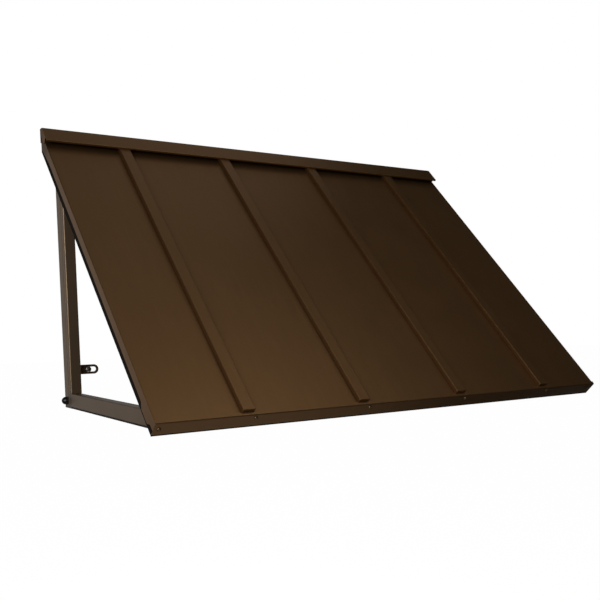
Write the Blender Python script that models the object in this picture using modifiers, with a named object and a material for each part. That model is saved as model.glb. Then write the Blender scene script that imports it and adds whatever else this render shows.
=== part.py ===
"""Standing-seam sheet-metal awning on a triangular frame of square tube.

Metres, +Z up, X along the width, the wall at Y = 0 and the viewer at -Y.
The origin is the middle of the header rail's face on the wall.
"""
import math

import bmesh
import bpy
from mathutils import Matrix, Vector

# Overall shape
WIDTH = 1.118
PROJECTION = 0.594
SLOPE = math.radians(45.0)
ARM_DROP = 0.0208

# Clearance between pieces that touch
GAP = 0.0003

# Sheet work of the roof
SHEET = 0.001
LEG_DEPTH = 0.033
HEM_HEIGHT = 0.005
HEM_DEPTH = 0.003
TRIM_FLANGE = 0.0075

# Raised seams
SEAM_COUNT = 4
END_PAN = 0.1768
SEAM_WIDTH = 0.025
SEAM_HEIGHT = 0.0085
PAN_LEG = 0.006

# Head flashing
FLASHING_TOP = 0.0155
FLASHING_REACH = 0.047
FLASHING_LIP = 0.0043
END_PLATE_BEHIND = 0.010
END_PLATE_LAP = 0.005

# Tube frame
FRAME_INSET = 0.0265
TUBE_WIDE = 0.0254
TUBE_WALL = 0.0016
TUBE_ROUND = 0.003
HEADER_DEPTH = 0.0254
HEADER_HEIGHT = 0.0254
RAFTER_DEPTH = 0.0254
RAIL_LENGTH_UP = 0.0254
POST_DEPTH = 0.033
BAR_DEPTH = 0.0138
ARM_HEIGHT = 0.0335

# Plastic fittings at the feet
CAP_HEIGHT = 0.005
FITTING_ROUND = 0.0015

# Domed foot bolts
DOME_RADIUS = 0.009
DOME_HEIGHT = 0.012
FOOT_BOLT_RADIUS = 0.003
FOOT_BOLT_LENGTH = 0.009

# Slotted wall tabs
TAB_SHEET = 0.003
TAB_HEIGHT = 0.0216
TAB_REACH = 0.0542
TAB_SIDE = 0.028
TAB_ABOVE_FOOT = 0.0846
SLOT_WIDTH = 0.0114
SLOT_LENGTH = 0.025
SLOT_END_WALL = 0.0052
TAB_SCREW_HEAD = 0.0072
TAB_SCREW_RISE = 0.0045
TAB_SCREW_RADIUS = 0.0035

# Screws through the front leg
SCREW_HEAD = 0.0038
SCREW_RISE = 0.0024
SCREW_RADIUS = 0.002
SCREW_LENGTH = 0.012
SCREW_BESIDE_SEAM = 0.0025
SCREW_BELOW_FOLD = 0.0075
CORNER_SCREW_INSET = 0.0095
CORNER_SCREW_BELOW = 0.0145
HOLE_CLEARANCE = 0.0003

# Facets of round shapes: whole turns, domes, tube corners, small edges and half-round ends
ROUND_STEPS = 16
DOME_STEPS = 4
CORNER_STEPS = 3
EDGE_STEPS = 2
END_STEPS = 8

# Places that follow from the sizes above
RISE = PROJECTION * math.tan(SLOPE)
ROOF_Z = HEADER_HEIGHT / 2 + HEADER_DEPTH * math.tan(SLOPE) + (SHEET + GAP) / math.cos(SLOPE)
FOLD_Z = ROOF_Z - RISE
FOOT_Z = FOLD_Z - ARM_DROP
HALF = WIDTH / 2
SEAM_PITCH = (WIDTH - 2 * END_PAN) / (SEAM_COUNT - 1)
FRAME_OUTER = HALF - FRAME_INSET
FRAME_INNER = FRAME_OUTER - TUBE_WIDE
UNDER_PAN = -SHEET - GAP
UNDER_RAFTER = UNDER_PAN - RAFTER_DEPTH - GAP
TRIM_TOP = SHEET + GAP
TRIM_FRONT = -SHEET - GAP
SEAM_FRONT = TRIM_FRONT + TRIM_FLANGE + GAP
ARM_TOP = FOOT_Z + ARM_HEIGHT
BAR_BACK = -POST_DEPTH - GAP
BAR_FRONT = BAR_BACK - BAR_DEPTH
FLASHING_OUTSIDE = SEAM_HEIGHT + GAP + FLASHING_LIP
FLASHING_INSIDE = FLASHING_OUTSIDE - SHEET
FLASHING_Z = ROOF_Z - FLASHING_TOP * math.tan(SLOPE) + FLASHING_OUTSIDE / math.cos(SLOPE)
UNDER_FLASHING = FLASHING_Z - SHEET - GAP
TAB_Z = FOOT_Z + TAB_ABOVE_FOOT

SIDES = {"left": -1, "right": 1}

for old in list(bpy.data.objects):
    bpy.data.objects.remove(old, do_unlink=True)

awning = bpy.data.collections.new("awning")
cutters = bpy.data.collections.new("cutters")
bpy.context.scene.collection.children.link(awning)
bpy.context.scene.collection.children.link(cutters)


def paint(name, colour, roughness, metallic=0.0):
    """Principled material of one plain colour."""
    material = bpy.data.materials.new(name)
    material.use_nodes = True
    shader = material.node_tree.nodes["Principled BSDF"]
    shader.inputs["Base Color"].default_value = (*colour, 1.0)
    shader.inputs["Roughness"].default_value = roughness
    shader.inputs["Metallic"].default_value = metallic
    return material


ROOF_PAINT = paint("roof_paint", (0.068, 0.042, 0.024), 0.45)
FRAME_PAINT = paint("frame_paint", (0.095, 0.075, 0.058), 0.45)
FITTING = paint("dark_fitting", (0.045, 0.034, 0.026), 0.55)
BLACK = paint("black_plastic", (0.012, 0.012, 0.014), 0.4)
ZINC = paint("zinc_screw", (0.32, 0.30, 0.28), 0.35, 1.0)


def roof_empty():
    """Empty at the middle of the front fold: its Y runs up the slope, its Z points out of the roof."""
    empty = bpy.data.objects.new("roof_frame", None)
    empty.location = (0.0, -PROJECTION, FOLD_Z)
    empty.rotation_euler = (SLOPE, 0.0, 0.0)
    awning.objects.link(empty)
    return empty


ROOF = roof_empty()


def new_object(name, bm, material, parent=None, collection=awning):
    """Object of the given name that holds the finished bmesh."""
    mesh = bpy.data.meshes.new(name)
    bm.to_mesh(mesh)
    bm.free()
    if material:
        mesh.materials.append(material)
    thing = bpy.data.objects.new(name, mesh)
    thing.parent = parent
    collection.objects.link(thing)
    return thing


def box_mesh(low, high):
    """Closed box between two corners."""
    bm = bmesh.new()
    bmesh.ops.create_cube(bm, size=1.0)
    low, high = Vector(low), Vector(high)
    bmesh.ops.scale(bm, verts=bm.verts, vec=high - low)
    bmesh.ops.translate(bm, verts=bm.verts, vec=(low + high) / 2)
    bm.normal_update()
    return bm


def thicken(thing, thickness):
    """Gives an open surface its wall, on the inner side."""
    solid = thing.modifiers.new("wall", "SOLIDIFY")
    solid.thickness = thickness
    solid.offset = -1.0
    solid.use_even_offset = True


def face_towards(bm, direction):
    """Turns the whole surface so that its widest face looks in the given direction."""
    bm.normal_update()
    widest = max(bm.faces, key=lambda face: face.calc_area())
    if widest.normal.dot(Vector(direction)) < 0:
        bmesh.ops.reverse_faces(bm, faces=bm.faces[:])


def folded_surface(profile, start, run):
    """Open surface: a bent line through the profile's points, drawn straight along run."""
    bm = bmesh.new()
    line = [bm.verts.new(Vector(start) + Vector(point)) for point in profile]
    edges = [bm.edges.new(pair) for pair in zip(line, line[1:])]
    drawn = bmesh.ops.extrude_edge_only(bm, edges=edges)["geom"]
    moved = [item for item in drawn if isinstance(item, bmesh.types.BMVert)]
    bmesh.ops.translate(bm, verts=moved, vec=run)
    return bm


def tube(name, low, high, axis, material, parent=None, ends=()):
    """Rectangular tube between two corners, open at both ends, its ends mitred by cutters."""
    bm = box_mesh(low, high)
    opened = [face for face in bm.faces if abs(face.normal["XYZ".index(axis)]) > 0.5]
    bmesh.ops.delete(bm, geom=opened, context="FACES")
    thing = new_object(name, bm, material, parent)
    corners = thing.modifiers.new("corners", "BEVEL")
    corners.width = TUBE_ROUND
    corners.segments = CORNER_STEPS
    corners.limit_method = "ANGLE"
    thicken(thing, TUBE_WALL)
    for cutter in ends:
        cut(thing, cutter)
    return thing


def fitting(name, low, high):
    """Moulded plastic block between two corners with small rounded edges."""
    thing = new_object(name, box_mesh(low, high), FITTING)
    edges = thing.modifiers.new("edges", "BEVEL")
    edges.width = FITTING_ROUND
    edges.segments = EDGE_STEPS


def domed_pin(name, head, pin, material, place, turn, parent=None):
    """Domed head on a plain pin: a turned profile, the head along local +Z, its seat at the origin.

    head is the dome's radius and rise, pin the pin's radius and length.
    """
    head_radius, head_rise = head
    pin_radius, pin_length = pin
    profile = [(0.0, head_rise)]
    for step in range(1, DOME_STEPS + 1):
        angle = math.pi / 2 * step / DOME_STEPS
        profile.append((head_radius * math.sin(angle), head_rise * math.cos(angle)))
    profile += [(pin_radius, 0.0), (pin_radius, -pin_length), (0.0, -pin_length)]
    bm = bmesh.new()
    line = [bm.verts.new((radius, 0.0, height)) for radius, height in profile]
    for pair in zip(line, line[1:]):
        bm.edges.new(pair)
    thing = new_object(name, bm, material, parent)
    thing.location = place
    thing.rotation_euler = turn
    turned = thing.modifiers.new("turned", "SCREW")
    turned.steps = ROUND_STEPS
    turned.render_steps = ROUND_STEPS
    turned.use_merge_vertices = True
    turned.merge_threshold = 0.00001
    return thing


def rod_cutter(name, radius, centre, direction, length, parent=None):
    """Cutter: a round bar about a centre."""
    bm = bmesh.new()
    bmesh.ops.create_cone(bm, cap_ends=True, segments=ROUND_STEPS, radius1=radius, radius2=radius,
                          depth=length)
    turn = Vector(direction).to_track_quat("Z", "Y").to_matrix().to_4x4()
    bmesh.ops.transform(bm, matrix=Matrix.Translation(centre) @ turn, verts=bm.verts)
    return as_cutter(new_object(name, bm, None, parent, cutters))


def as_cutter(thing):
    """Marks an object as a tool that only cuts."""
    thing.hide_render = True
    thing.display_type = "WIRE"
    return thing


def cut(thing, cutter):
    """Takes the cutter's shape out of the object."""
    hole = thing.modifiers.new(cutter.name, "BOOLEAN")
    hole.operation = "DIFFERENCE"
    hole.solver = "EXACT"
    hole.object = cutter


def seam_centres():
    """Places of the raised seams along X, the same distance apart about the middle."""
    first = -SEAM_PITCH * (SEAM_COUNT - 1) / 2
    return [first + SEAM_PITCH * index for index in range(SEAM_COUNT)]


def half_space(name, point, direction, parent=None):
    """Cutter: a block larger than the awning on the far side of a plane, which its normal points to."""
    size = 3 * (WIDTH + PROJECTION)
    bm = bmesh.new()
    bmesh.ops.create_cube(bm, size=size)
    bmesh.ops.translate(bm, verts=bm.verts, vec=Vector(point) + Vector(direction) * size / 2)
    return as_cutter(new_object(name, bm, None, parent, cutters))


def leg_notch():
    """Cutter that ends the pans' turned-up edges behind the seam caps' closed fronts."""
    behind = SEAM_FRONT + SHEET + GAP
    size = 2 * WIDTH
    bm = bmesh.new()
    bmesh.ops.create_cube(bm, size=size)
    bmesh.ops.translate(bm, verts=bm.verts, vec=(0.0, behind - size / 2, GAP / 2 + size / 2))
    return as_cutter(new_object("leg_notch", bm, None, ROOF, cutters))


def side_leg(sign):
    """Profile points of an end pan's turned-down side, from its hem to the fold."""
    edge = sign * HALF
    hem = sign * (HALF - HEM_DEPTH)
    return [(hem, HEM_HEIGHT - LEG_DEPTH), (hem, -LEG_DEPTH), (edge, -LEG_DEPTH), (edge, 0.0)]


def build_pans():
    """Five roof pans: flat sheets with edges turned up inside the seams, the end ones turned down."""
    reach = SEAM_WIDTH / 2 - SHEET - GAP
    centres = seam_centres()
    length = PROJECTION / math.cos(SLOPE)
    for index in range(SEAM_COUNT + 1):
        left, right = side_leg(-1), side_leg(1)[::-1]
        if index > 0:
            left = [(centres[index - 1] + reach, PAN_LEG), (centres[index - 1] + reach, 0.0)]
        if index < SEAM_COUNT:
            right = [(centres[index] - reach, 0.0), (centres[index] - reach, PAN_LEG)]
        profile = [(x, 0.0, z) for x, z in left + right]
        bm = folded_surface(profile, (0.0, 0.0, 0.0), (0.0, length, 0.0))
        face_towards(bm, (0.0, 0.0, 1.0))
        pan = new_object(f"pan_{index + 1}", bm, ROOF_PAINT, ROOF)
        thicken(pan, SHEET)
        for cutter in (AT_WALL_FLANGE, AT_FLASHING_TOP, UNDER_TRIM):
            cut(pan, cutter)


def build_seam_caps():
    """Box caps over the seams, open below and at the wall, closed at the front."""
    length = PROJECTION / math.cos(SLOPE)
    for index, centre in enumerate(seam_centres()):
        bm = box_mesh((centre - SEAM_WIDTH / 2, SEAM_FRONT, GAP),
                      (centre + SEAM_WIDTH / 2, length, SEAM_HEIGHT))
        opened = [face for face in bm.faces if face.normal.z < -0.5 or face.normal.y > 0.5]
        bmesh.ops.delete(bm, geom=opened, context="FACES")
        cap = new_object(f"seam_cap_{index + 1}", bm, ROOF_PAINT, ROOF)
        thicken(cap, SHEET)
        for cutter in (AT_WALL_FLANGE, AT_FLASHING_TOP):
            cut(cap, cutter)


def screw_places():
    """X and depth below the fold of each screw through the front leg."""
    beside = [(centre + SEAM_WIDTH / 2 + SCREW_BESIDE_SEAM, SCREW_BELOW_FOLD) for centre in seam_centres()]
    corner = HALF - CORNER_SCREW_INSET
    return [(-corner, CORNER_SCREW_BELOW)] + beside + [(corner, CORNER_SCREW_BELOW)]


def notch_hem(bm, inner):
    """Takes the front hem off beyond a distance from the middle, where the side hems come through."""
    for x in (-inner, inner):
        geometry = bm.verts[:] + bm.edges[:] + bm.faces[:]
        bmesh.ops.bisect_plane(bm, geom=geometry, plane_co=(x, 0.0, 0.0), plane_no=(1.0, 0.0, 0.0))
    hem = []
    for face in bm.faces:
        middle = face.calc_center_median()
        if abs(middle.x) > inner and middle.y > TRIM_FRONT + GAP and middle.z < -LEG_DEPTH / 2:
            hem.append(face)
    bmesh.ops.delete(bm, geom=hem, context="FACES")


def build_front():
    """Front trim over the pans' ends, the rail behind it and the screws that hold them together."""
    hem_back = TRIM_FRONT + HEM_DEPTH
    profile = [(0.0, TRIM_FRONT + TRIM_FLANGE, TRIM_TOP), (0.0, TRIM_FRONT, TRIM_TOP),
               (0.0, TRIM_FRONT, -LEG_DEPTH), (0.0, hem_back, -LEG_DEPTH),
               (0.0, hem_back, HEM_HEIGHT - LEG_DEPTH)]
    bm = folded_surface(profile, (-HALF, 0.0, 0.0), (WIDTH, 0.0, 0.0))
    face_towards(bm, (0.0, -1.0, 0.0))
    notch_hem(bm, HALF - HEM_DEPTH - GAP)
    trim = new_object("front_trim", bm, ROOF_PAINT, ROOF)
    thicken(trim, SHEET)
    rail = tube("front_rail", (-HALF + SHEET + GAP, 0.0, UNDER_PAN - RAFTER_DEPTH),
                (HALF - SHEET - GAP, RAIL_LENGTH_UP, UNDER_PAN), "X", FRAME_PAINT, ROOF)
    for index, (x, depth) in enumerate(screw_places()):
        name = f"trim_screw_{index + 1}"
        centre = (x, 0.0, -depth)
        through = 2 * (SHEET + TUBE_WALL + 2 * GAP)
        cutter = rod_cutter(name + "_hole", SCREW_RADIUS + HOLE_CLEARANCE, centre, (0.0, 1.0, 0.0),
                            through, ROOF)
        cut(trim, cutter)
        cut(rail, cutter)
        seat = (x, TRIM_FRONT - GAP, -depth)
        domed_pin(name, (SCREW_HEAD, SCREW_RISE), (SCREW_RADIUS, SCREW_LENGTH), ZINC, seat,
                  (math.radians(90.0), 0.0, 0.0), ROOF)


def build_flashing():
    """Head flashing: wall flange, level top, face parallel to the roof, lip on the seams and end plates."""
    low_y = -FLASHING_REACH
    low_z = FLASHING_Z + (low_y + FLASHING_TOP) * math.tan(SLOPE)
    lip = (low_y + FLASHING_LIP * math.sin(SLOPE), low_z - FLASHING_LIP * math.cos(SLOPE))
    outline = [(0.0, HEADER_HEIGHT / 2 + GAP), (0.0, FLASHING_Z), (-FLASHING_TOP, FLASHING_Z),
               (low_y, low_z), lip]
    profile = [(0.0, y, z) for y, z in outline]
    reach = HALF + GAP + SHEET
    bm = folded_surface(profile, (-reach, 0.0, 0.0), (2 * reach, 0.0, 0.0))
    face_towards(bm, (0.0, -math.sin(SLOPE), math.cos(SLOPE)))
    thicken(new_object("head_flashing", bm, ROOF_PAINT), SHEET)
    front = (PROJECTION - FLASHING_REACH) / math.cos(SLOPE) + FLASHING_OUTSIDE * math.tan(SLOPE)
    length = PROJECTION / math.cos(SLOPE)
    for side, sign in SIDES.items():
        low, high = across(sign, HALF + GAP, reach)
        bm = box_mesh((low, front + END_PLATE_BEHIND, -END_PLATE_LAP), (high, length, FLASHING_INSIDE - GAP))
        plate = new_object(f"flashing_end_{side}", bm, ROOF_PAINT, ROOF)
        cut(plate, AT_WALL_FLANGE)
        cut(plate, AT_FLASHING_TOP)


def across(sign, inner, outer):
    """Low and high X of a piece that lies between two distances from the middle, on one side."""
    return (inner, outer) if sign > 0 else (-outer, -inner)


def build_frame():
    """Header rail and, on each side, the rafter, wall post, front bar and arm of the triangle."""
    tube("header_rail", (-FRAME_OUTER, -HEADER_DEPTH, -HEADER_HEIGHT / 2),
         (FRAME_OUTER, 0.0, HEADER_HEIGHT / 2), "X", FRAME_PAINT)
    under_rafter = half_space("under_rafter", (0.0, 0.0, UNDER_RAFTER), (0.0, 0.0, 1.0), ROOF)
    hem_back = TRIM_FRONT + HEM_DEPTH + GAP
    behind_hem = half_space("behind_hem", (0.0, hem_back, UNDER_RAFTER), (0.0, -1.0, 0.0), ROOF)
    at_header = half_space("at_header", (0.0, -HEADER_DEPTH - GAP, 0.0), (0.0, 1.0, 0.0))
    header_foot = -HEADER_HEIGHT / 2 - GAP
    for side, sign in SIDES.items():
        low, high = across(sign, FRAME_INNER, FRAME_OUTER)
        tube(f"rafter_{side}", (low, RAIL_LENGTH_UP + GAP, UNDER_PAN - RAFTER_DEPTH),
             (high, PROJECTION / math.cos(SLOPE), UNDER_PAN), "Y", FRAME_PAINT, ROOF, [at_header])
        tube(f"wall_post_{side}", (low, -POST_DEPTH, FOOT_Z + CAP_HEIGHT + GAP), (high, 0.0, header_foot),
             "Z", FRAME_PAINT, None, [under_rafter])
        tube(f"front_bar_{side}", (low, BAR_FRONT, ARM_TOP + GAP), (high, BAR_BACK, header_foot),
             "Z", FRAME_PAINT, None, [under_rafter])
        tube(f"arm_{side}", (low, -PROJECTION, FOOT_Z), (high, BAR_FRONT - GAP, ARM_TOP),
             "Y", FRAME_PAINT, None, [under_rafter, behind_hem])
        fitting(f"arm_plug_{side}", (low, BAR_FRONT, FOOT_Z), (high, BAR_BACK, ARM_TOP))
        fitting(f"foot_cap_{side}", (low, -POST_DEPTH, FOOT_Z), (high, 0.0, FOOT_Z + CAP_HEIGHT))
        build_foot_bolt(side, sign)
        build_wall_tab(side, sign)


def build_foot_bolt(side, sign):
    """Domed bolt in the outer side of the post, level with the middle of the arm."""
    height = FOOT_Z + ARM_HEIGHT / 2
    centre = (sign * FRAME_OUTER, -POST_DEPTH / 2, height)
    cutter = rod_cutter(f"foot_bolt_{side}_hole", FOOT_BOLT_RADIUS + HOLE_CLEARANCE, centre,
                        (1.0, 0.0, 0.0), 2 * FOOT_BOLT_LENGTH)
    cut(bpy.data.objects[f"wall_post_{side}"], cutter)
    seat = (sign * (FRAME_OUTER + GAP), -POST_DEPTH / 2, height)
    domed_pin(f"foot_bolt_{side}", (DOME_RADIUS, DOME_HEIGHT), (FOOT_BOLT_RADIUS, FOOT_BOLT_LENGTH),
              BLACK, seat, (0.0, sign * math.radians(90.0), 0.0))


def build_wall_tab(side, sign):
    """Bent strap from the post's inner side along the wall, its end round and slotted for a wall screw."""
    seat = sign * (FRAME_INNER - GAP)
    tip = sign * (FRAME_INNER - GAP - TAB_REACH)
    profile = [(seat, -TAB_SIDE, 0.0), (seat, 0.0, 0.0), (tip, 0.0, 0.0)]
    bm = folded_surface(profile, (0.0, 0.0, TAB_Z - TAB_HEIGHT / 2), (0.0, 0.0, TAB_HEIGHT))
    face_towards(bm, (0.0, 1.0, 0.0))
    corners = [vert for vert in bm.verts if abs(vert.co.x - tip) < GAP]
    bmesh.ops.bevel(bm, geom=corners, offset=TAB_HEIGHT / 2 - GAP, segments=END_STEPS,
                    profile=0.5, affect="VERTICES", offset_type="OFFSET")
    tab = new_object(f"wall_tab_{side}", bm, FRAME_PAINT)
    thicken(tab, TAB_SHEET)
    slot_tip = FRAME_INNER - GAP - TAB_REACH + SLOT_END_WALL
    cut(tab, slot_cutter(f"wall_tab_{side}_slot", sign, slot_tip))
    screw_x = sign * (slot_tip + SLOT_LENGTH - SLOT_WIDTH / 2)
    domed_pin(f"tab_screw_{side}", (TAB_SCREW_HEAD, TAB_SCREW_RISE), (TAB_SCREW_RADIUS, TAB_SHEET), ZINC,
              (screw_x, -TAB_SHEET - GAP, TAB_Z), (math.radians(90.0), 0.0, 0.0))


def slot_cutter(name, sign, slot_tip):
    """Cutter for a slot with round ends: a block whose upright edges are rounded to half its width."""
    low, high = across(sign, slot_tip, slot_tip + SLOT_LENGTH)
    bm = box_mesh((low, -2 * TAB_SHEET, TAB_Z - SLOT_WIDTH / 2), (high, TAB_SHEET, TAB_Z + SLOT_WIDTH / 2))
    rims = [edge for edge in bm.edges if abs(edge.verts[0].co.y - edge.verts[1].co.y) > TAB_SHEET]
    bmesh.ops.bevel(bm, geom=rims, offset=SLOT_WIDTH / 2 - GAP / 10, segments=END_STEPS,
                    profile=0.5, affect="EDGES")
    return as_cutter(new_object(name, bm, None, None, cutters))


AT_WALL_FLANGE = half_space("at_wall_flange", (0.0, -SHEET - GAP, ROOF_Z), (0.0, 1.0, 0.0))
AT_FLASHING_TOP = half_space("at_flashing_top", (0.0, 0.0, UNDER_FLASHING), (0.0, 0.0, 1.0))
UNDER_TRIM = leg_notch()

build_pans()
build_seam_caps()
build_front()
build_flashing()
build_frame()
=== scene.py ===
"""Looks of a standing-seam sheet-metal awning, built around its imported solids.

Metres, +Z up, X along the width, the wall at Y = 0 and the viewer at -Y.
"""

import math

import bpy
import numpy as np
from mathutils import Matrix, Vector


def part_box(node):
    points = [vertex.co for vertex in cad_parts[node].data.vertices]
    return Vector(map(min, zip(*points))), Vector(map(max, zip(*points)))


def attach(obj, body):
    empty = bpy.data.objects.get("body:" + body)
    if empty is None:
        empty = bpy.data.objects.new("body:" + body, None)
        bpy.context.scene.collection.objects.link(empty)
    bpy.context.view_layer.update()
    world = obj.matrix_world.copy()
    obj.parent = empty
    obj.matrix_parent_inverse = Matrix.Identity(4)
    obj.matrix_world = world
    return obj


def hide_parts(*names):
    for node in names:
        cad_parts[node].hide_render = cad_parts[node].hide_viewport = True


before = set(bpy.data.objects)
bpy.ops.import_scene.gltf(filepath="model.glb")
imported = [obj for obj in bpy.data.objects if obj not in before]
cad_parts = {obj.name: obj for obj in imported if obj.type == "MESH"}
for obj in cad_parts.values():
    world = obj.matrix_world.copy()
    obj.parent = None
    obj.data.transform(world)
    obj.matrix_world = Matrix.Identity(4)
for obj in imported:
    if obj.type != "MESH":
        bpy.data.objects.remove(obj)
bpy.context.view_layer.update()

# Sizes shared with the solids
WIDTH = 1.118
HALF = WIDTH / 2
PROJECTION = 0.594
SLOPE = math.radians(45.0)
GAP = 0.0003
SHEET = 0.001
LEG_DEPTH = 0.033
HEM_HEIGHT = 0.005
HEM_DEPTH = 0.003
TRIM_FLANGE = 0.0075
SEAM_COUNT = 4
SEAM_PITCH = 0.2548
SEAM_WIDTH = 0.025
SEAM_HEIGHT = 0.0085
PAN_LEG = 0.006
FLASHING_TOP = 0.0155
FLASHING_REACH = 0.047
FLASHING_LIP = 0.0043
END_PLATE_BEHIND = 0.010
END_PLATE_LAP = 0.005
FRAME_OUTER = 0.5325
FRAME_INNER = 0.5071
TUBE_WALL = 0.0016
TUBE_ROUND = 0.003
HEADER = 0.0254
RAFTER_DEPTH = 0.0254
POST_DEPTH = 0.033
BAR_DEPTH = 0.0138
ARM_HEIGHT = 0.0335
ARM_DROP = 0.0208
CAP_HEIGHT = 0.005
SCREW_HEAD = 0.0038
SCREW_RISE = 0.0024
SCREW_BESIDE_SEAM = 0.0025
SCREW_BELOW_FOLD = 0.0075
CORNER_SCREW_INSET = 0.0095
CORNER_SCREW_BELOW = 0.0145
DOME_RADIUS = 0.009
DOME_HEIGHT = 0.012
TAB_SCREW_HEAD = 0.0072
TAB_SCREW_RISE = 0.0045
TAB_SHEET = 0.003
SCREW_STUB = (0.002, 0.012)
TAB_SCREW_STUB = (0.0035, 0.003)
DOME_STUB = (0.003, 0.009)

# Bends of the sheet work and fineness of the curves
BEND = 0.0016
SEAM_BEND = 0.0012
SIDE_BEND = 0.0016
FOLD_BEND = 0.0026
HEM_BEND = 0.0013
BEND_STEPS = 7
SUPPORT = 0.0001
LEAST_BEND = SUPPORT * 4
SEAT = 0.00002
TURN_STEPS = 40
DOME_STEPS = 9
DOME_RIM = 0.12
END_PLATE_STEPS = 12
SHARP = math.radians(32.0)
NEARLY_UPRIGHT = 0.9

# Places that follow from the sizes above
ROOF_Z = HEADER / 2 + HEADER * math.tan(SLOPE) + (SHEET + GAP) / math.cos(SLOPE)
FOLD_Z = ROOF_Z - PROJECTION * math.tan(SLOPE)
FOOT_Z = FOLD_Z - ARM_DROP
UNDER_PAN = -SHEET - GAP
UNDER_RAFTER = UNDER_PAN - RAFTER_DEPTH - GAP
TRIM_FRONT = -SHEET - GAP
TRIM_TOP = SHEET + GAP
SEAM_FRONT = TRIM_FRONT + TRIM_FLANGE + GAP
ARM_TOP = FOOT_Z + ARM_HEIGHT
BAR_BACK = -POST_DEPTH - GAP
BAR_FRONT = BAR_BACK - BAR_DEPTH
FLASHING_OUTSIDE = SEAM_HEIGHT + GAP + FLASHING_LIP
FLASHING_INSIDE = FLASHING_OUTSIDE - SHEET
FLASHING_Z = ROOF_Z - FLASHING_TOP * math.tan(SLOPE) + FLASHING_OUTSIDE / math.cos(SLOPE)
EDGE_Y = -FLASHING_REACH
EDGE_Z = FLASHING_Z + (EDGE_Y + FLASHING_TOP) * math.tan(SLOPE)
LIP_Y = EDGE_Y + FLASHING_LIP * math.sin(SLOPE)
LIP_Z = EDGE_Z - FLASHING_LIP * math.cos(SLOPE)
WALL_STOP = -SHEET - GAP
TOP_STOP = FLASHING_Z - SHEET - GAP
SIDES = {"left": -1, "right": 1}

# Directions: across the roof, up the slope and out of it, with the middle of the front fold as origin
ACROSS = np.array([1.0, 0.0, 0.0])
UPHILL = np.array([0.0, math.cos(SLOPE), math.sin(SLOPE)])
OUTWARD = np.array([0.0, -math.sin(SLOPE), math.cos(SLOPE)])
FOLD = np.array([0.0, -PROJECTION, FOLD_Z])
UP = np.array([0.0, 0.0, 1.0])
INTO_WALL = np.array([0.0, 1.0, 0.0])
CENTRE = np.zeros(3)


def unit(vectors):
    """Each row divided by its length."""
    return vectors / np.linalg.norm(vectors, axis=-1, keepdims=True)


def bend(points, radius, closed=False):
    """Bent line: every corner of the polyline becomes an arc that touches both of its legs.

    With d1 and d2 the unit directions before and after a corner and t the angle between them, the arc
    begins radius * tan(t / 2) before the corner and runs through
    begin + radius * sin(a) * d1 + radius * (1 - cos(a)) * side, for a from 0 to t.
    A support point just outside each end of the arc keeps the flat legs flat in the shading.
    """
    points = np.asarray(points, float)
    before, after = np.roll(points, 1, axis=0), np.roll(points, -1, axis=0)
    corner = points if closed else points[1:-1]
    before = before if closed else before[1:-1]
    after = after if closed else after[1:-1]
    d1, d2 = unit(corner - before), unit(after - corner)
    along = np.sum(d1 * d2, axis=1, keepdims=True)
    turn = np.arccos(np.clip(along, -1.0, 1.0))
    side = unit(d2 - along * d1)
    radius = np.broadcast_to(np.asarray(radius, float), len(corner))[:, None]
    reach = radius * np.tan(turn / 2)
    angle = turn * np.linspace(0.0, 1.0, BEND_STEPS)
    begin = (corner - d1 * reach)[:, None, :]
    arc = begin + (radius * np.sin(angle))[..., None] * d1[:, None, :]
    arc = arc + (radius * (1.0 - np.cos(angle)))[..., None] * side[:, None, :]
    lead = (corner - d1 * (reach + SUPPORT))[:, None, :]
    trail = (corner + d2 * (reach + SUPPORT))[:, None, :]
    line = np.concatenate([lead, arc, trail], axis=1).reshape(-1, 2)
    return line if closed else np.concatenate([points[:1], line, points[-1:]])


def inner_line(line, thickness, closed=False):
    """Parallel line on the right-hand side: each point moves along the mitre of its two legs."""
    step = unit(np.roll(line, -1, axis=0) - line)
    back = np.roll(step, 1, axis=0)
    if not closed:
        step[-1], back[0] = back[-1], step[0]
    mean = unit(step + back)
    half_cos = np.sum(mean * step, axis=1, keepdims=True)
    right = np.stack([mean[:, 1], -mean[:, 0]], axis=1)
    return line + right * thickness / half_cos


def make_mesh(name, points, faces):
    """Mesh object of the given points and faces, turned outwards if its volume comes out negative."""
    mesh = bpy.data.meshes.new(name)
    triangles = np.array([(f[0], f[i], f[i + 1]) for f in faces for i in range(1, len(f) - 1)])
    a, b, c = (points[triangles[:, i]] for i in range(3))
    if np.einsum("ij,ij->i", a, np.cross(b, c)).sum() < 0.0:
        faces = [tuple(reversed(f)) for f in faces]
    mesh.from_pydata(points.tolist(), [], [tuple(int(i) for i in f) for f in faces])
    mesh.shade_smooth()
    mesh.set_sharp_from_angle(angle=SHARP)
    thing = bpy.data.objects.new(name, mesh)
    bpy.context.scene.collection.objects.link(thing)
    return thing


def carry(name, outer, inner, basis, start, stop, closed=False):
    """Sheet or tube: a section carried straight along a direction, with a cut at each end.

    A section point (p, q) at run r lies at origin + p * u + q * v + r * w, and the runs of the two ends
    are the functions start(p, q) and stop(p, q), so a slanting cut is a run that changes with p or q.
    """
    origin, u, v, w = basis
    section = np.concatenate([outer, inner])
    flat = origin + section[:, :1] * u + section[:, 1:] * v
    ends = [flat + np.broadcast_to(cut(section[:, 0], section[:, 1]), len(section))[:, None] * w
            for cut in (start, stop)]
    points = np.concatenate(ends)
    count = len(outer)
    here = np.arange(count if closed else count - 1)
    there = (here + 1) % count
    back = 2 * count
    quads = [np.stack(quad, axis=1) for quad in (
        (here, there, there + back, here + back),
        (there + count, here + count, here + count + back, there + count + back),
        (there, here, here + count, there + count),
        (here + back, there + back, there + count + back, here + count + back))]
    faces = [tuple(quad) for quad in np.concatenate(quads)]
    if not closed:
        last = count - 1
        faces.append((0, back, count + back, count))
        faces.append((last, last + count, last + count + back, last + back))
    return make_mesh(name, points, faces)


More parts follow.
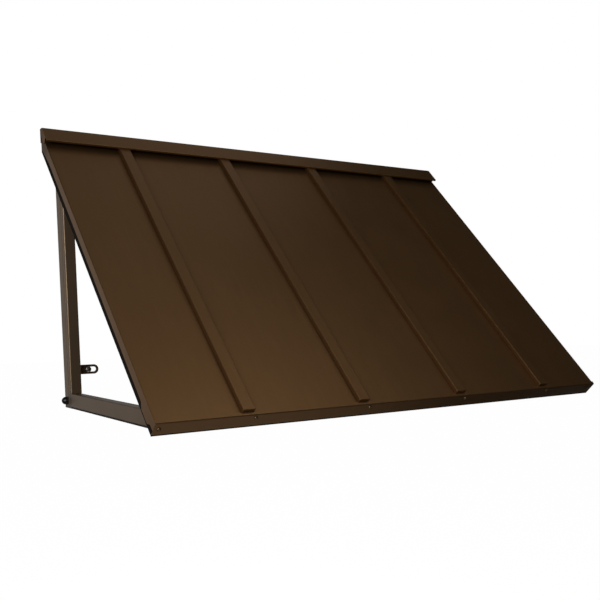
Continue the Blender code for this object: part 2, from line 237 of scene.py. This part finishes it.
def level(run):
    """Square cut at a fixed run."""
    return lambda p, q: run


def turned(name, profile, place, axis):
    """Turned piece: the profile's (radius, height) points swept a full circle about an axis."""
    profile = np.asarray(profile, float)
    axis = unit(np.asarray(axis, float))
    helper = UP if abs(axis[2]) < NEARLY_UPRIGHT else ACROSS
    u = unit(np.cross(helper, axis))
    v = np.cross(axis, u)
    angle = np.linspace(0.0, 2.0 * math.pi, TURN_STEPS, endpoint=False)
    rim = np.cos(angle)[:, None] * u + np.sin(angle)[:, None] * v
    rings = profile[1:-1, 0, None, None] * rim + profile[1:-1, 1, None, None] * axis
    ends = profile[[0, -1], 1, None] * axis
    points = np.concatenate([rings.reshape(-1, 3), ends]) + np.asarray(place, float)
    steps = np.arange(TURN_STEPS)
    following = (steps + 1) % TURN_STEPS
    faces = []
    for ring in range(len(profile) - 3):
        low, high = ring * TURN_STEPS, (ring + 1) * TURN_STEPS
        faces += list(zip(low + steps, low + following, high + following, high + steps))
    top, bottom = len(points) - 2, len(points) - 1
    last = (len(profile) - 3) * TURN_STEPS
    faces += [(top, b, a) for a, b in zip(steps, following)]
    faces += [(bottom, last + a, last + b) for a, b in zip(steps, following)]
    return make_mesh(name, points, faces)


def seam_centres():
    """Places of the raised seams along X."""
    return (np.arange(SEAM_COUNT) - (SEAM_COUNT - 1) / 2) * SEAM_PITCH


def to_wall(p, q):
    """Run up the slope at which a roof piece at height q stops: the wall or the flashing's top."""
    at_wall = (WALL_STOP - FOLD[1] + q * math.sin(SLOPE)) / math.cos(SLOPE)
    at_top = (TOP_STOP - FOLD[2] - q * math.cos(SLOPE)) / math.sin(SLOPE)
    return np.minimum(at_wall, at_top)


# Origin and directions of the pieces that run up the slope
ROOF = (FOLD, ACROSS, OUTWARD, UPHILL)

# Sockets of the colours in a mixing node
COLOURS_IN = (6, 7)
COLOUR_OUT = 2


def finish_piece(piece, material, slot, *nodes):
    """Gives a piece its finish, rides it on the body and lets it stand for its solids."""
    piece.data.materials.append(material)
    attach(piece, "root")
    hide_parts(*nodes)
    return piece


class Finish:
    """One procedural finish: a Principled shader with named texture layers on Object coordinates."""

    def __init__(self, name):
        self.material = bpy.data.materials.new(name)
        self.material.use_nodes = True
        self.tree = self.material.node_tree
        self.shader = self.tree.nodes["Principled BSDF"]
        self.place = self.tree.nodes.new("ShaderNodeTexCoord").outputs["Object"]

    def node(self, kind, links=(), **values):
        """New node with its properties and sockets set and its inputs linked."""
        made = self.tree.nodes.new(kind)
        for key, value in values.items():
            if hasattr(made, key):
                setattr(made, key, value)
            else:
                made.inputs[key].default_value = value
        for socket, source in dict(links).items():
            self.tree.links.new(source, made.inputs[socket])
        return made

    def noise(self, scale, detail=3.0, stretch=None, rough=0.5):
        """Cloudy noise over the place, stretched along an axis if asked."""
        source = self.place
        if stretch:
            source = self.node("ShaderNodeMapping", {"Vector": source}, Scale=stretch).outputs["Vector"]
        made = self.node("ShaderNodeTexNoise", {"Vector": source}, Scale=scale, Detail=detail,
                         Roughness=rough)
        return made.outputs["Fac"]

    def spread(self, value, low, high, out_low, out_high):
        """Value mapped from one span to another and held inside it."""
        made = self.node("ShaderNodeMapRange", {"Value": value})
        ends = {"From Min": low, "From Max": high, "To Min": out_low, "To Max": out_high}
        for key, number in ends.items():
            made.inputs[key].default_value = number
        return made.outputs["Result"]

    def mix(self, share, first, second):
        """Colour between two, by a share; each is a colour or an output."""
        made = self.node("ShaderNodeMix", data_type="RGBA")
        self.tree.links.new(share, made.inputs[0])
        for socket, colour in zip(COLOURS_IN, (first, second)):
            if isinstance(colour, tuple):
                made.inputs[socket].default_value = (*colour, 1.0)
            else:
                self.tree.links.new(colour, made.inputs[socket])
        return made.outputs[COLOUR_OUT]

    def bump(self, height, strength, distance, below=None):
        """Bump from a height, on top of another bump if given."""
        links = {"Height": height}
        if below is not None:
            links["Normal"] = below
        made = self.node("ShaderNodeBump", links, Strength=strength, Distance=distance)
        return made.outputs["Normal"]

    def along(self, direction):
        """Distance from the origin along a direction."""
        made = self.node("ShaderNodeVectorMath", {0: self.place}, operation="DOT_PRODUCT")
        made.inputs[1].default_value = direction
        return made.outputs["Value"]

    def reckon(self, operation, first, *numbers):
        """Sum worked on an output; each further operand is a number or an output."""
        made = self.node("ShaderNodeMath", {0: first}, operation=operation)
        for socket, number in enumerate(numbers, 1):
            if hasattr(number, "is_linked"):
                self.tree.links.new(number, made.inputs[socket])
            else:
                made.inputs[socket].default_value = number
        return made.outputs["Value"]

    def put(self, socket, source):
        """Links an output to the shader, or sets the shader's own value."""
        if hasattr(source, "is_linked"):
            self.tree.links.new(source, self.shader.inputs[socket])
        else:
            self.shader.inputs[socket].default_value = source


def scaled(colour, factor):
    """Colour made lighter or darker, held at full brightness."""
    return tuple(min(1.0, part * factor) for part in colour)


# Textures, each as scale, detail, stretch and roughness; spans, each as low, high and what they become;
# bumps, each as strength and depth in metres
WHOLE = (0.0, 1.0)
EVEN = (0.3, 0.7)
CLOUD = (2.3, 4.0, None, 0.55)
CLOUD_SPAN = (0.32, 0.68, 0.0, 1.0)
STREAK = (9.0, 5.0, (6.0, 1.0, 0.7), 0.6)
STREAK_SPAN = (0.45, 0.75, 0.0, 0.18)
STREAK_LIGHT = 1.25
SPECK_SCALE = 900.0
SPECK_SPAN = (0.0, 0.12, 0.22, 0.0)
SPECK_LIGHT = 1.8
SATIN = (14.0, 4.0, None, 0.6)
SATIN_SWING = 0.02
WAVE = (3.1, 1.0)
WAVE_BUMP = (0.008, 0.01)
PEEL = (950.0, 2.0)
PEEL_BUMP = (0.10, 0.0003)
RUB = (60.0, 3.0)
RUB_SPAN = (0.45, 0.75, 0.0, 0.6)
RUB_LIGHT = 1.5
RUB_LIFT = 0.004
SPARK = (200.0,)
SPARK_SWING = 0.06
GRAIN = (1600.0, 2.0)
GRAIN_BUMP = (0.15, 0.0002)
MOTTLE = (420.0, 3.0)
MOTTLE_SPAN = (0.35, 0.65, 0.0, 1.0)
MOTTLE_DARK = 0.7
SHEEN = (700.0,)
SHEEN_BELOW = 0.07
SHEEN_ABOVE = 0.08
SCRATCH = (900.0, 2.0, (1.0, 1.0, 9.0))
SCRATCH_BUMP = (0.12, 0.0002)

# Painted shade along the lowest edges of the hems, a near-black matte band where shade falls: how high
# it reaches, and where it is wider on the roof's sides, as runs up the slope from the front fold: up to
# the corner's end, and from the arm to a fall along the upright
HEM_SHADE_TONE = (0.010, 0.007, 0.004)
HEM_SHADE_FADE = 0.0012
HEM_SHADE_HEIGHT = 0.0035
FOOT_SHADE_HEIGHT = 0.0042
SIDE_SHADE_HEIGHT = 0.0095
CORNER_END = 0.014
ARM_START = 0.056
ARM_FADE = 0.01
POST_START = 0.745
POST_FADE = 0.075

# Painted shade beside the left side of each seam and below the flashing's lip, where shadow falls on the
# pans:
# its colour, its reach and its share
PAINTED_SHADE_TONE = (0.03, 0.014, 0.004)
SEAM_SHADE_REACH = 0.016
SEAM_SHADE_SHARE = 0.32
LIP_SHADE_REACH = 0.028
LIP_SHADE_FULL = 0.006
LIP_SHADE_SHARE = 0.5
LIP_RUN = LIP_Y * math.cos(SLOPE) + LIP_Z * math.sin(SLOPE)


def painted_shade_share(paint):
    """Share of the painted shade at the left foot of each seam and under the flashing's lip, where
    shadow falls.

    Across the roof the fraction of a pitch past the last seam grows to one at the next, and the share
    grows over the last SEAM_SHADE_REACH of it. Up the slope it grows from LIP_SHADE_REACH to
    LIP_SHADE_FULL before the lip.
    """
    across = paint.node("ShaderNodeSeparateXYZ", {"Vector": paint.place}).outputs["X"]
    pitches = paint.reckon("MULTIPLY_ADD", across, 1.0 / SEAM_PITCH, -seam_centres()[0] / SEAM_PITCH)
    fraction = paint.reckon("FRACT", pitches)
    foot = 1.0 - SEAM_WIDTH / 2 / SEAM_PITCH
    beside = paint.spread(fraction, foot - SEAM_SHADE_REACH / SEAM_PITCH, foot, 0.0, SEAM_SHADE_SHARE)
    uphill = paint.along(UPHILL)
    below = paint.spread(uphill, LIP_RUN - LIP_SHADE_REACH, LIP_RUN - LIP_SHADE_FULL, 0.0, LIP_SHADE_SHARE)
    return paint.reckon("MAXIMUM", beside, below)


def side_hem_shade(paint):
    """Extra height of the painted hem shade on the roof's sides: at the front corner, and from arm to
    upright.

    The second stretch is the lesser of a rise just above the arm and a fall along the upright.
    """
    uphill = paint.along(UPHILL)
    corner, arm, post = (FOLD @ UPHILL + run for run in (CORNER_END, ARM_START, POST_START))
    rise = paint.spread(uphill, arm, arm + ARM_FADE, 0.0, SIDE_SHADE_HEIGHT)
    fall = paint.spread(uphill, post, post + POST_FADE, SIDE_SHADE_HEIGHT, 0.0)
    front = paint.spread(uphill, corner, corner + ARM_FADE, SIDE_SHADE_HEIGHT, 0.0)
    return paint.reckon("MAXIMUM", paint.reckon("MINIMUM", rise, fall), front)


def bronze_paint(name, base, deep, metallic, roughness, specular, lowest, with_painted_shade=False):
    """Satin bronze powder coat: cloudy tone, faint run-off streaks, dust specks and orange peel.

    The lowest edge is a direction and a height along it, below which a near-black band of painted shade
    lies.
    With the pans' painted shade asked for, the pans also darken beside the seams and under the
    flashing's lip, and the painted hem band reaches higher on the roof's sides.
    """
    paint = Finish(name)
    cloud = paint.spread(paint.noise(*CLOUD), *CLOUD_SPAN)
    streak = paint.spread(paint.noise(*STREAK), *STREAK_SPAN)
    streaked = paint.mix(streak, paint.mix(cloud, deep, base), scaled(base, STREAK_LIGHT))
    cells = paint.node("ShaderNodeTexVoronoi", {"Vector": paint.place}, Scale=SPECK_SCALE)
    speck = paint.spread(cells.outputs["Distance"], *SPECK_SPAN)
    coat = paint.mix(speck, streaked, scaled(base, SPECK_LIGHT))
    direction, height = lowest
    over = paint.along(direction)
    # Painted shade on the pans: darker beside the seams and under the flashing's lip, and a higher
    # painted hem band on the sides
    if with_painted_shade:
        coat = paint.mix(painted_shade_share(paint), coat, PAINTED_SHADE_TONE)
        over = paint.reckon("SUBTRACT", over, side_hem_shade(paint))
    # Near-black painted shade below the lowest edge: dark, matte and not metallic
    hem_shade_share = paint.spread(over, height, height + HEM_SHADE_FADE, 1.0, 0.0)
    satin = paint.spread(paint.noise(*SATIN), *EVEN, roughness - SATIN_SWING, roughness + SATIN_SWING)
    wave = paint.bump(paint.noise(*WAVE), *WAVE_BUMP)
    paint.put("Base Color", paint.mix(hem_shade_share, coat, HEM_SHADE_TONE))
    paint.put("Roughness", paint.reckon("MAXIMUM", satin, hem_shade_share))
    paint.put("Metallic", paint.spread(hem_shade_share, *WHOLE, metallic, 0.0))
    paint.put("Specular IOR Level", specular)
    paint.put("Normal", paint.bump(paint.noise(*PEEL), *PEEL_BUMP, wave))
    return paint.material


def moulded(name, base, roughness):
    """Moulded plastic: fine spark-eroded grain with slightly rubbed tone."""
    plastic = Finish(name)
    rubbed = plastic.spread(plastic.noise(*RUB), *RUB_SPAN)
    lighter = tuple(part * RUB_LIGHT + RUB_LIFT for part in base)
    low, high = roughness - SPARK_SWING, roughness + SPARK_SWING
    plastic.put("Base Color", plastic.mix(rubbed, base, lighter))
    plastic.put("Roughness", plastic.spread(plastic.noise(*SPARK), *EVEN, low, high))
    plastic.put("Normal", plastic.bump(plastic.noise(*GRAIN), *GRAIN_BUMP))
    return plastic.material


def plated(name, base, roughness):
    """Plated metal: faint mottling and fine scratches."""
    plate = Finish(name)
    mottled = plate.spread(plate.noise(*MOTTLE), *MOTTLE_SPAN)
    low, high = roughness - SHEEN_BELOW, roughness + SHEEN_ABOVE
    plate.put("Base Color", plate.mix(mottled, base, scaled(base, MOTTLE_DARK)))
    plate.put("Metallic", 1.0)
    plate.put("Roughness", plate.spread(plate.noise(*SHEEN), *EVEN, low, high))
    plate.put("Normal", plate.bump(plate.noise(*SCRATCH), *SCRATCH_BUMP))
    return plate.material


# Finishes: colour, deeper colour, metallic, roughness and specular level of the paints
# Lowest edges below which the painted hem shade lies: the sheet's hem, and the arms' lower edge on the
# frame
HEM_LINE = (OUTWARD, FOLD @ OUTWARD - LEG_DEPTH + HEM_SHADE_HEIGHT)
FOOT_LINE = (UP, FOOT_Z + FOOT_SHADE_HEIGHT)
ROOF_COAT = ((0.262, 0.139, 0.056), (0.250, 0.132, 0.053), 0.85, 0.42, 0.2)
FRAME_COAT = ((0.25, 0.17, 0.105), (0.22, 0.15, 0.092), 0.78, 0.42, 0.75)
ROOF_PAINT = bronze_paint("roof_bronze", *ROOF_COAT, HEM_LINE)
# Pan paint with painted shade beside the seams and under the flashing's lip
SHADED_PAN_PAINT = bronze_paint("pan_bronze_painted_shade", *ROOF_COAT, HEM_LINE, with_painted_shade=True)
FRAME_PAINT = bronze_paint("frame_bronze", *FRAME_COAT, FOOT_LINE)
FITTING = moulded("brown_moulding", (0.095, 0.072, 0.052), 0.45)
BLACK = moulded("black_moulding", (0.006, 0.006, 0.007), 0.32)
ZINC = plated("zinc_plate", (0.62, 0.60, 0.57), 0.3)
TINTED = plated("bronze_plate", (0.32, 0.215, 0.115), 0.45)


def side_points(sign):
    """Section of an end pan's turned-down side, from its hem to the fold."""
    edge = sign * HALF
    hem = sign * (HALF - HEM_DEPTH)
    return [(hem, HEM_HEIGHT - LEG_DEPTH), (hem, -LEG_DEPTH), (edge, -LEG_DEPTH), (edge, 0.0)]


def pan_front(p, q):
    """Run at which a pan begins: at the fold, or behind the seam cap's front where it is turned up."""
    return np.where(q > GAP, SEAM_FRONT + SHEET + GAP, 0.0)


def build_pans():
    """Roof pans with rounded bends, their sides turned up inside the seams or down at the ends."""
    reach = SEAM_WIDTH / 2 - SHEET - GAP
    centres = seam_centres()
    for index in range(SEAM_COUNT + 1):
        left, left_bends = side_points(-1), [HEM_BEND, HEM_BEND, SIDE_BEND]
        right, right_bends = side_points(1)[::-1], [SIDE_BEND, HEM_BEND, HEM_BEND]
        if index > 0:
            foot = centres[index - 1] + reach
            left, left_bends = [(foot, PAN_LEG), (foot, 0.0)], [BEND]
        if index < SEAM_COUNT:
            foot = centres[index] - reach
            right, right_bends = [(foot, 0.0), (foot, PAN_LEG)], [BEND]
        outer = bend(left + right, left_bends + right_bends)
        inner = inner_line(outer, SHEET)
        pan = carry(f"roof_pan_{index + 1}", outer, inner, ROOF, pan_front, to_wall)
        finish_piece(pan, SHADED_PAN_PAINT, "roof_paint", f"pan_{index + 1}")


def cap_line(centre, inset):
    """Section of a seam cap, every side moved inwards by the inset, with as many points each time."""
    half = SEAM_WIDTH / 2 - inset
    radius = max(SEAM_BEND - inset, LEAST_BEND)
    return bend([(centre - half, SEAT), (centre - half, SEAM_HEIGHT - inset),
                 (centre + half, SEAM_HEIGHT - inset), (centre + half, SEAT)], radius)


def cap_skin(centre, inset):
    """Grid of a seam cap's outer or inner skin: rows of sections from the wall to the front's edge.

    The front's edge is a quarter circle: at angle a the section has shrunk by radius * (1 - cos(a)) and
    moved on by radius * sin(a). A support row on each side of it keeps the flats flat in the shading.
    """
    radius = max(SEAM_BEND - inset, LEAST_BEND)
    angle = np.linspace(0.0, math.pi / 2, BEND_STEPS)
    shrunk = np.concatenate([[0.0, 0.0], radius * (1.0 - np.cos(angle)), [radius + SUPPORT]])
    behind = np.concatenate([[0.0, radius + SUPPORT], radius * (1.0 - np.sin(angle)), [0.0]])
    rows = np.stack([cap_line(centre, inset + step) for step in shrunk])
    runs = np.repeat(SEAM_FRONT + inset + behind[:, None], rows.shape[1], axis=1)
    runs[0] = to_wall(rows[0, :, 0], rows[0, :, 1])
    return FOLD + rows[..., :1] * ACROSS + rows[..., 1:] * OUTWARD + runs[..., None] * UPHILL


def build_seam_caps():
    """Seam caps: an outer and an inner skin, one sheet apart and closed in front, their rims joined."""
    for index, centre in enumerate(seam_centres()):
        outer, inner = cap_skin(centre, 0.0), cap_skin(centre, SHEET)
        grid = np.arange(outer[..., 0].size).reshape(outer.shape[:2])
        corners = (grid[:-1, :-1], grid[:-1, 1:], grid[1:, 1:], grid[1:, :-1])
        outside = [tuple(face) for face in np.stack(corners, axis=-1).reshape(-1, 4)]
        outside.append(tuple(grid[-1]))
        inside = [tuple(corner + grid.size for corner in reversed(face)) for face in outside]
        rim = np.concatenate([grid[:, 0], grid[::-1, -1], grid[0, -2:0:-1]])
        onward = np.roll(rim, -1)
        rims = list(zip(rim, onward, onward + grid.size, rim + grid.size))
        points = np.concatenate([outer, inner]).reshape(-1, 3)
        cap = make_mesh(f"seam_{index + 1}", points, outside + inside + rims)
        finish_piece(cap, ROOF_PAINT, "roof_paint", f"seam_cap_{index + 1}")


def build_front_trim():
    """Front trim: flange on the pans, rounded fold, leg and hem, carried along the awning's width."""
    hem_back = TRIM_FRONT + HEM_DEPTH
    outline = [(TRIM_FRONT + TRIM_FLANGE, TRIM_TOP), (TRIM_FRONT, TRIM_TOP), (TRIM_FRONT, -LEG_DEPTH),
               (hem_back, -LEG_DEPTH), (hem_back, HEM_HEIGHT - LEG_DEPTH)]
    outer = bend(outline, [FOLD_BEND, HEM_BEND, HEM_BEND])
    inner = inner_line(outer, -SHEET)
    basis = (FOLD, UPHILL, OUTWARD, ACROSS)
    inside = HALF - HEM_DEPTH - GAP

    def end(sign):
        """The hem stops short of the side hems; the leg and flange reach the corner."""
        behind_leg = TRIM_FRONT + SHEET + GAP
        return lambda p, q: np.where((p > behind_leg) & (q < -LEG_DEPTH / 2), inside, HALF) * sign

    trim = carry("front_edge", outer, inner, basis, end(-1), end(1))
    finish_piece(trim, ROOF_PAINT, "roof_paint", "front_trim")


def build_flashing():
    """Head flashing: wall flange, level top, face parallel to the roof and its end plates."""
    reach = HALF + GAP + SHEET
    basis = (CENTRE, INTO_WALL, UP, ACROSS)
    outline = [(0.0, HEADER / 2 + GAP), (0.0, FLASHING_Z), (-FLASHING_TOP, FLASHING_Z),
               (EDGE_Y, EDGE_Z), (LIP_Y, LIP_Z)]
    outer = bend(outline, [BEND, BEND, HEM_BEND])
    inner = inner_line(outer, -SHEET)
    cover = carry("head_cover", outer, inner, basis, level(-reach), level(reach))
    finish_piece(cover, ROOF_PAINT, "roof_paint", "head_flashing")
    front = (PROJECTION - FLASHING_REACH) / math.cos(SLOPE) + FLASHING_OUTSIDE * math.tan(SLOPE)
    front = front + END_PLATE_BEHIND
    for side, sign in SIDES.items():
        low, high = -END_PLATE_LAP, FLASHING_INSIDE - GAP
        heights = np.linspace(low, high, END_PLATE_STEPS)
        edge = np.stack([np.full(END_PLATE_STEPS, sign * reach), heights], axis=1)
        other = np.stack([np.full(END_PLATE_STEPS, sign * (HALF + GAP)), heights], axis=1)
        plate = carry(f"head_end_{side}", edge, other, ROOF, level(front), to_wall)
        finish_piece(plate, ROOF_PAINT, "roof_paint", f"flashing_end_{side}")


def tube(name, low, high, basis, start, stop, node):
    """Square tube: a rounded rectangle between two corners of its section, carried with its wall."""
    (p0, q0), (p1, q1) = low, high
    outer = bend([(p0, q0), (p0, q1), (p1, q1), (p1, q0)], TUBE_ROUND, closed=True)
    inner = inner_line(outer, TUBE_WALL, closed=True)
    thing = carry(name, outer, inner, basis, start, stop, closed=True)
    return finish_piece(thing, FRAME_PAINT, "frame_paint", node)


def rafter_end(p, q):
    """Run up the slope at which a rafter at height q stops: at the front of the header rail."""
    return (-HEADER - GAP + PROJECTION + q * math.sin(SLOPE)) / math.cos(SLOPE)


def under_roof(p, q):
    """Upper end of an upright, at depth q: the underside of the rafter or of the header rail."""
    under_rafter = FOLD_Z + (q + PROJECTION) * math.tan(SLOPE) + UNDER_RAFTER / math.cos(SLOPE)
    return np.minimum(under_rafter, -HEADER / 2 - GAP)


def arm_front(p, q):
    """Front end of an arm, at height q: the rafter's underside or the hem's back, whichever is first."""
    hem_back = TRIM_FRONT + HEM_DEPTH + GAP
    at_rafter = -PROJECTION + (q - FOLD_Z - UNDER_RAFTER / math.cos(SLOPE)) / math.tan(SLOPE)
    at_hem = -PROJECTION + (hem_back - (q - FOLD_Z) * math.sin(SLOPE)) / math.cos(SLOPE)
    return np.maximum(at_rafter, at_hem)


def build_frame():
    """Header rail, front rail and the rafter, post, bar and arm of each side frame."""
    tube("rail_on_wall", (-HEADER, -HEADER / 2), (0.0, HEADER / 2), (CENTRE, INTO_WALL, UP, ACROSS),
         level(-FRAME_OUTER), level(FRAME_OUTER), "header_rail")
    rail_end = HALF - SHEET - GAP
    tube("rail_in_front", (0.0, UNDER_PAN - RAFTER_DEPTH), (HEADER, UNDER_PAN),
         (FOLD, UPHILL, OUTWARD, ACROSS), level(-rail_end), level(rail_end), "front_rail")
    standing = (CENTRE, ACROSS, INTO_WALL, UP)
    for side, sign in SIDES.items():
        low, high = sorted((sign * FRAME_INNER, sign * FRAME_OUTER))
        tube(f"sloping_tube_{side}", (low, UNDER_PAN - RAFTER_DEPTH), (high, UNDER_PAN), ROOF,
             level(HEADER + GAP), rafter_end, f"rafter_{side}")
        tube(f"post_{side}", (low, -POST_DEPTH), (high, 0.0), standing,
             level(FOOT_Z + CAP_HEIGHT + GAP), under_roof, f"wall_post_{side}")
        tube(f"bar_{side}", (low, BAR_FRONT), (high, BAR_BACK), standing,
             level(ARM_TOP + GAP), under_roof, f"front_bar_{side}")
        tube(f"level_tube_{side}", (low, FOOT_Z), (high, ARM_TOP), (CENTRE, ACROSS, UP, INTO_WALL),
             arm_front, level(BAR_FRONT - GAP), f"arm_{side}")


def dome(radius, rise, stub, depth):
    """Profile of a domed head with a small rim, on a stub: a quarter ellipse of radius and rise."""
    angle = np.linspace(0.0, math.pi / 2, DOME_STEPS)
    head = [(radius * math.sin(a), rise * (DOME_RIM + (1.0 - DOME_RIM) * math.cos(a))) for a in angle]
    return head + [(radius, 0.0), (stub, 0.0), (stub, -depth), (0.0, -depth)]


def build_fixings():
    """Screws of the front leg, the tab screws and the domed foot bolts."""
    reach = SEAM_WIDTH / 2 + SCREW_BESIDE_SEAM
    beside = [(centre + reach, SCREW_BELOW_FOLD) for centre in seam_centres()]
    screw_head = dome(SCREW_HEAD, SCREW_RISE, *SCREW_STUB)
    tab_screw_head = dome(TAB_SCREW_HEAD, TAB_SCREW_RISE, *TAB_SCREW_STUB)
    bolt_head = dome(DOME_RADIUS, DOME_HEIGHT, *DOME_STUB)
    corner = HALF - CORNER_SCREW_INSET
    places = [(-corner, CORNER_SCREW_BELOW)] + beside + [(corner, CORNER_SCREW_BELOW)]
    for index, (x, depth) in enumerate(places):
        seat = FOLD + x * ACROSS + (TRIM_FRONT - GAP) * UPHILL - depth * OUTWARD
        screw = turned(f"edge_screw_{index + 1}", screw_head, seat, -UPHILL)
        finish_piece(screw, TINTED, "zinc_screw", f"trim_screw_{index + 1}")
    for side, sign in SIDES.items():
        low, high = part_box(f"tab_screw_{side}")
        seat = ((low.x + high.x) / 2, -TAB_SHEET - GAP, (low.z + high.z) / 2)
        screw = turned(f"wall_screw_{side}", tab_screw_head, seat, -INTO_WALL)
        finish_piece(screw, ZINC, "zinc_screw", f"tab_screw_{side}")
        seat = (sign * (FRAME_OUTER + GAP), -POST_DEPTH / 2, FOOT_Z + ARM_HEIGHT / 2)
        bolt = turned(f"dome_bolt_{side}", bolt_head, seat, sign * ACROSS)
        finish_piece(bolt, BLACK, "black_plastic", f"foot_bolt_{side}")


def dress_solids():
    """Better finishes for the solids that stay."""
    for side in SIDES:
        for node, material in ((f"wall_tab_{side}", FRAME_PAINT), (f"arm_plug_{side}", FITTING),
                               (f"foot_cap_{side}", FITTING)):
            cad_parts[node].data.materials.clear()
            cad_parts[node].data.materials.append(material)


build_pans()
build_seam_caps()
build_front_trim()
build_flashing()
build_frame()
build_fixings()
dress_solids()

# Camera at the photograph's viewing angle
CAMERA_PLACE = Vector((-1.061, -1.8193, -0.3941))
CAMERA_AHEAD = Vector((0.53768, 0.83898, -0.08374))
CAMERA_RIGHT = Vector((0.84076, -0.54098, -0.02158))
FOCAL_PIXELS = 799.0
FRAME_PIXELS = 600.0
SENSOR = 36.0
SHIFT_UP = 0.15
SIGHT_END = 200.0

# Studio: floor, surroundings, and each soft box by its name, direction from the lit point, distance,
# size and power
FLOOR_Z = -1.7
FLOOR_SIZE = 60.0
FLOOR_TONE = (0.1, 0.1, 0.1, 1.0)
FLOOR_ROUGHNESS = 0.9
FLOOR_GLOW = 0.99
WHITE = (1.0, 1.0, 1.0, 1.0)
ROOM_STRENGTH = 0.012
BACKDROP_STRENGTH = 1.0
LIT = Vector((-0.1, -0.35, -0.3))
SOFT_BOXES = (
    ("front_above", (0.3, -0.55, 0.8), 2.2, 1.4, 5.5),
    ("above", (0.0, 0.0, 1.0), 2.2, 1.2, 0.6),
    ("rear_above", (0.3, 0.5, 0.8), 2.2, 1.4, 1.4),
    ("left_rear", (-0.45, 0.9, 0.0), 2.4, 1.6, 2.8),
    ("rear", (0.25, 0.95, 0.15), 2.4, 1.2, 1.5),
    ("left", (-1.0, 0.2, 0.0), 2.4, 1.6, 3.0),
    ("front_left", (-0.8, -0.6, 0.15), 2.4, 1.6, 28.7),
    ("front_right", (0.5, -0.85, -0.05), 2.4, 1.2, 0.4),
    ("right", (1.0, 0.5, -0.25), 2.4, 1.6, 4.0),
    ("below", (0.05, -0.1, -1.0), 1.6, 1.6, 1.9),
)


def build_camera():
    """Camera from its place, its line of sight and its right-hand side."""
    camera = bpy.data.objects.new("camera", bpy.data.cameras.new("camera"))
    ahead = CAMERA_AHEAD.normalized()
    up = CAMERA_RIGHT.cross(ahead).normalized()
    right = ahead.cross(up)
    turn = Matrix((right, up, -ahead)).transposed()
    camera.matrix_world = Matrix.Translation(CAMERA_PLACE) @ turn.to_4x4()
    camera.data.sensor_width = SENSOR
    camera.data.lens = FOCAL_PIXELS / FRAME_PIXELS * SENSOR
    camera.data.shift_y = SHIFT_UP
    camera.data.clip_end = SIGHT_END
    bpy.context.scene.collection.objects.link(camera)
    bpy.context.scene.camera = camera


def build_floor():
    """Plain pale floor far below the awning, bright enough to meet the white backdrop."""
    points = np.array([(-1, -1, 0), (1, -1, 0), (1, 1, 0), (-1, 1, 0)], float) * FLOOR_SIZE / 2
    mesh = bpy.data.meshes.new("floor")
    mesh.from_pydata((points + FLOOR_Z * UP).tolist(), [], [(0, 1, 2, 3)])
    floor = bpy.data.objects.new("floor", mesh)
    bpy.context.scene.collection.objects.link(floor)
    pale = bpy.data.materials.new("pale_floor")
    pale.use_nodes = True
    shader = pale.node_tree.nodes["Principled BSDF"]
    shader.inputs["Base Color"].default_value = FLOOR_TONE
    shader.inputs["Roughness"].default_value = FLOOR_ROUGHNESS
    shader.inputs["Specular IOR Level"].default_value = 0.0
    shader.inputs["Emission Color"].default_value = WHITE
    shader.inputs["Emission Strength"].default_value = FLOOR_GLOW
    mesh.materials.append(pale)
    floor.visible_diffuse = False
    floor.visible_glossy = False


def soft_box(name, place, target, size, power):
    """Square soft light at a place, turned to a target."""
    data = bpy.data.lights.new(name, "AREA")
    data.shape = "SQUARE"
    data.size = size
    data.energy = power
    light = bpy.data.objects.new(name, data)
    light.location = place
    light.rotation_euler = (Vector(place) - Vector(target)).to_track_quat("Z", "Y").to_euler()
    light.visible_camera = False
    bpy.context.scene.collection.objects.link(light)


def build_light():
    """White backdrop for the camera, dim soft surroundings, and soft boxes all round."""
    world = bpy.data.worlds.new("studio")
    world.use_nodes = True
    tree = world.node_tree
    out = tree.nodes["World Output"]
    dim = tree.nodes["Background"]
    dim.inputs["Color"].default_value = WHITE
    dim.inputs["Strength"].default_value = ROOM_STRENGTH
    white = tree.nodes.new("ShaderNodeBackground")
    white.inputs["Color"].default_value = WHITE
    white.inputs["Strength"].default_value = BACKDROP_STRENGTH
    seen = tree.nodes.new("ShaderNodeLightPath")
    choice = tree.nodes.new("ShaderNodeMixShader")
    tree.links.new(seen.outputs["Is Camera Ray"], choice.inputs[0])
    tree.links.new(dim.outputs["Background"], choice.inputs[1])
    tree.links.new(white.outputs["Background"], choice.inputs[2])
    tree.links.new(choice.outputs[0], out.inputs["Surface"])
    bpy.context.scene.world = world
    for name, direction, distance, size, power in SOFT_BOXES:
        soft_box(name, LIT + Vector(direction).normalized() * distance, LIT, size, power)


build_camera()
build_floor()
build_light()
bpy.context.scene.view_settings.view_transform = "Standard"
